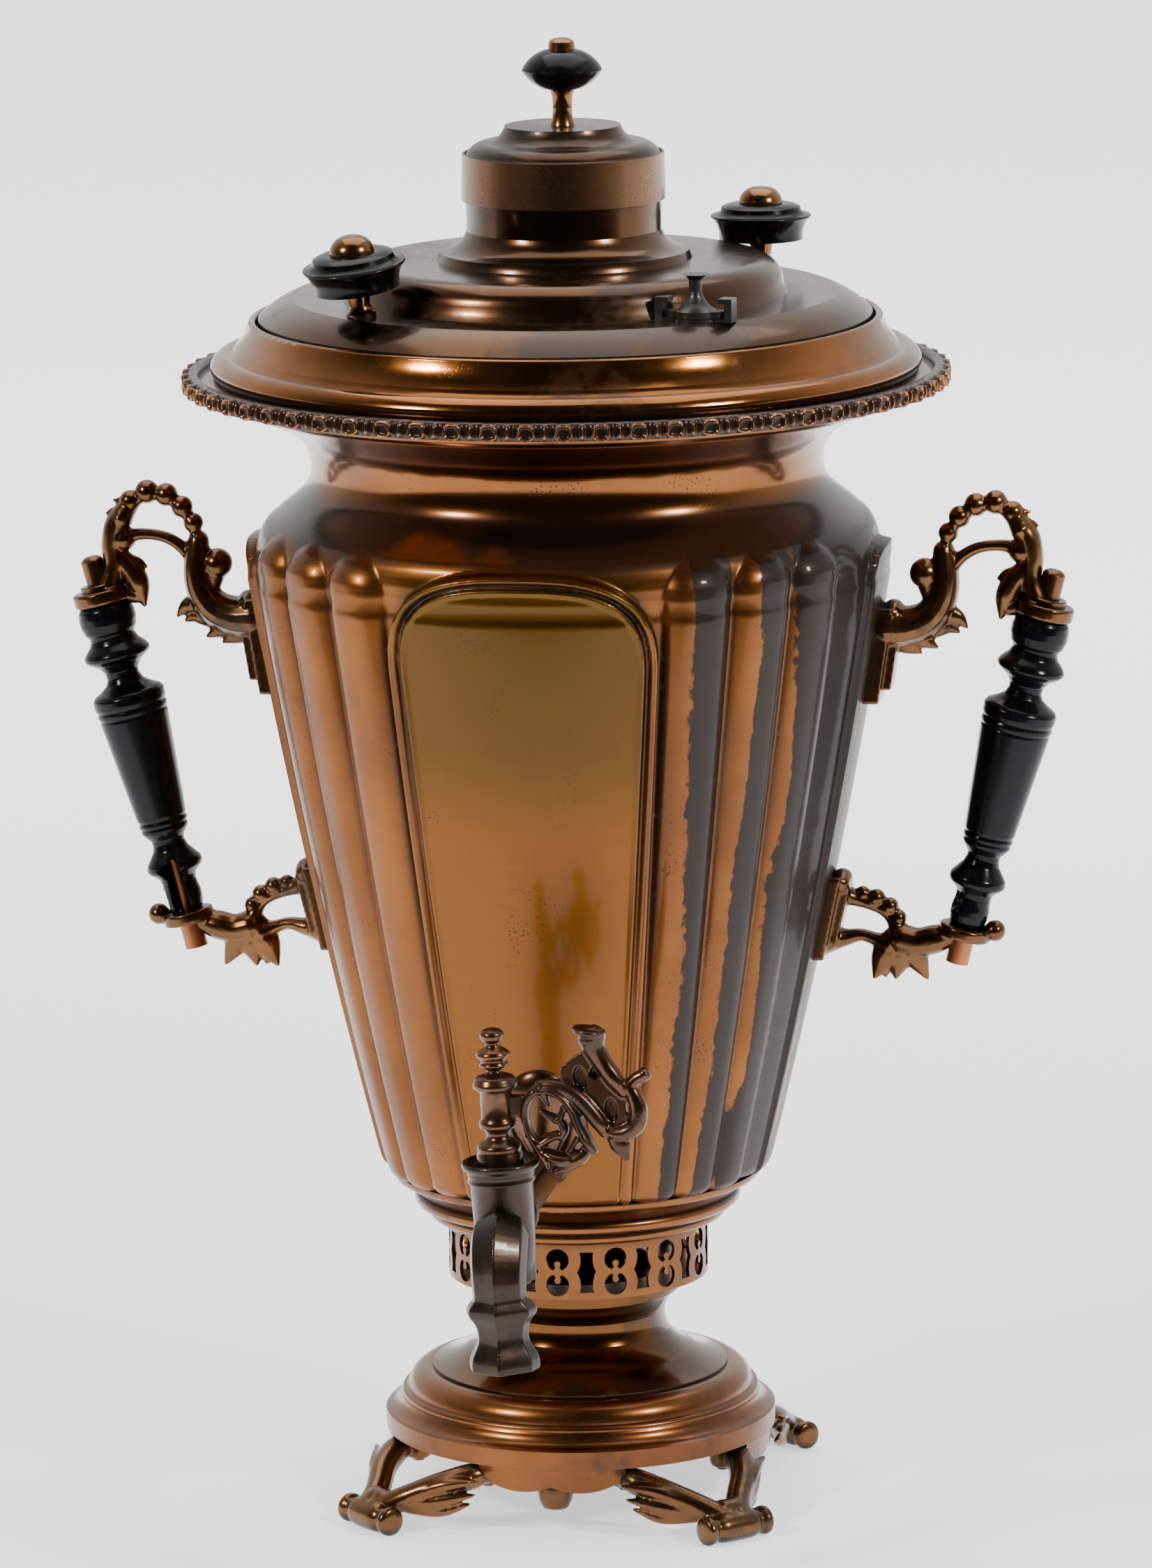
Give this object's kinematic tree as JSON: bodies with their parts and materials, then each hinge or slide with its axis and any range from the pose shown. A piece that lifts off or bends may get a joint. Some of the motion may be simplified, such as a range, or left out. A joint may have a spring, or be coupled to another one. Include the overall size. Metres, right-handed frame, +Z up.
{
  "type": "samovar",
  "caption": "Charcoal samovar with a fluted vase body, central fire tube, lift-off lid and chimney cap, side handles and a tap with an openwork key",
  "frame": {"origin": "on the table under the axis of the body", "axes": "+Z up along the body's axis, the tap points along -Y, the handles lie along +X and -X"},
  "size_m": [0.3516, 0.3109, 0.5123],
  "materials": {
    "patinated_copper": "antiqued copper sheet under worn lacquer",
    "cast_copper": "antiqued casting",
    "dark_cast_copper": "darkened casting",
    "bright_brass": "rubbed brass",
    "tube_brass": "sooted sheet",
    "grate_iron": "rough",
    "ebonised_wood": "polished black",
    "gasket_leather": "oiled"
  },
  "bodies": {
    "base": {"air_gallery": "patinated_copper", "base_plinth": "patinated_copper", "base_stud": "cast_copper", "beaded_rim": "patinated_copper", "body_foot_ring": "patinated_copper", "body_shell": "patinated_copper", "fire_grate": "grate_iron", "fire_tube": "tube_brass", "foot_back_left": "cast_copper", "foot_back_right": "cast_copper", "foot_front_left": "cast_copper", "foot_front_right": "cast_copper", "foot_rivets": "cast_copper", "gallery_floor": "patinated_copper", "handle_left_acorn": "bright_brass", "handle_left_grip": "ebonised_wood", "handle_left_lower_bracket": "cast_copper", "handle_left_rod": "bright_brass", "handle_left_upper_bracket": "cast_copper", "handle_left_washer": "bright_brass", "handle_right_acorn": "bright_brass", "handle_right_grip": "ebonised_wood", "handle_right_lower_bracket": "cast_copper", "handle_right_rod": "bright_brass", "handle_right_upper_bracket": "cast_copper", "handle_right_washer": "bright_brass", "pedestal_neck": "patinated_copper", "tap_body": "dark_cast_copper", "tap_escutcheon": "dark_cast_copper", "tap_gasket": "gasket_leather", "tap_lock_nut": "dark_cast_copper", "top_plate": "patinated_copper"},
    "lid": {"lid_collar": "patinated_copper", "lid_knob_left": "ebonised_wood", "lid_knob_right": "ebonised_wood", "lid_nut_left": "bright_brass", "lid_nut_right": "bright_brass", "lid_shell": "patinated_copper", "lid_skirt": "patinated_copper", "lid_stem_left": "bright_brass", "lid_stem_right": "bright_brass", "vent_base": "patinated_copper"},
    "cap": {"cap_band": "patinated_copper", "cap_button": "bright_brass", "cap_dome": "patinated_copper", "cap_knob": "ebonised_wood", "cap_stem": "patinated_copper"},
    "vent_cover": {"vent_cover": "patinated_copper"},
    "key": {"tap_key": "dark_cast_copper", "tap_finial": "dark_cast_copper", "tap_washer": "dark_cast_copper", "tap_end_nut": "dark_cast_copper"}
  },
  "joints": [
    {"name": "lid_lift", "type": "slide", "parent": "base", "child": "lid", "axis": [0, 0, 1], "range_m": [0, 0.08]},
    {"name": "cap_lift", "type": "slide", "parent": "lid", "child": "cap", "axis": [0, 0, 1], "range_m": [0, 0.03]},
    {"name": "vent_turn", "type": "hinge", "parent": "lid", "child": "vent_cover", "pos_m": [0.05528, -0.06588, 0.4245], "axis": [0, 0, 1], "range_deg": [0, 90]},
    {"name": "key_turn", "type": "hinge", "parent": "base", "child": "key", "pos_m": [0, -0.15, 0.132], "axis": [-0.0523, 0, 0.9986], "continuous": true}
  ]
}
